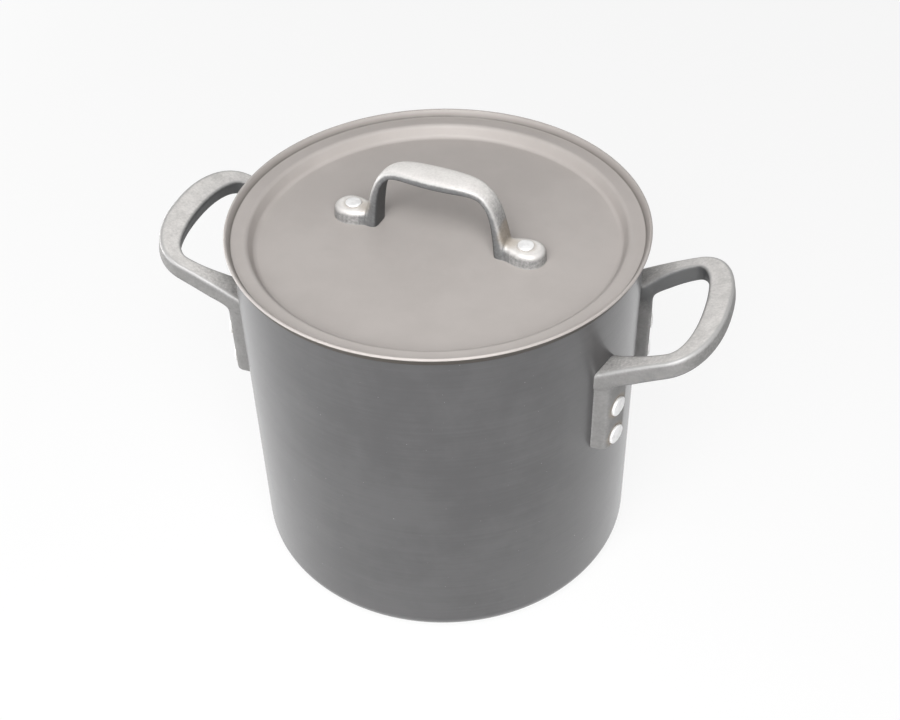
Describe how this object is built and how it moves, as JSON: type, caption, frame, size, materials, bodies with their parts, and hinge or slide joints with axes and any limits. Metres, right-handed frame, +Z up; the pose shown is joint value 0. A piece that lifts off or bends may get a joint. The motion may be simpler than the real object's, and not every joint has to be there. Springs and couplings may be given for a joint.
{
  "type": "stock pot",
  "caption": "Straight-walled aluminium stock pot with riveted cast loop handles and an inset lift-off lid with a cast bow handle.",
  "frame": {"origin": "centre of the pot's base, on the surface that it stands on", "axes": "+X towards the right side handle, +Z up along the pot's axis"},
  "size_m": [0.3226, 0.229, 0.239],
  "materials": {
    "pot": "dark hard-anodised, satin",
    "lid": "grey hard-anodised, satin",
    "side_handle": "cast, satin",
    "lid_handle": "cast, tumbled",
    "rivet": "bright, peened"
  },
  "bodies": {
    "pot": {"pot_body": "pot", "handle_right": "side_handle", "handle_left": "side_handle", "handle_rivet_1": "rivet", "handle_rivet_2": "rivet", "handle_rivet_3": "rivet", "handle_rivet_4": "rivet", "handle_rivet_5": "rivet", "handle_rivet_6": "rivet", "handle_rivet_7": "rivet", "handle_rivet_8": "rivet"},
    "lid": {"lid": "lid", "lid_handle": "lid_handle", "lid_rivet_1": "rivet", "lid_rivet_2": "rivet"}
  },
  "joints": [
    {"name": "lid_lift", "type": "slide", "parent": "pot", "child": "lid", "axis": [0, 0, 1], "range_m": [0, 0.25]}
  ]
}
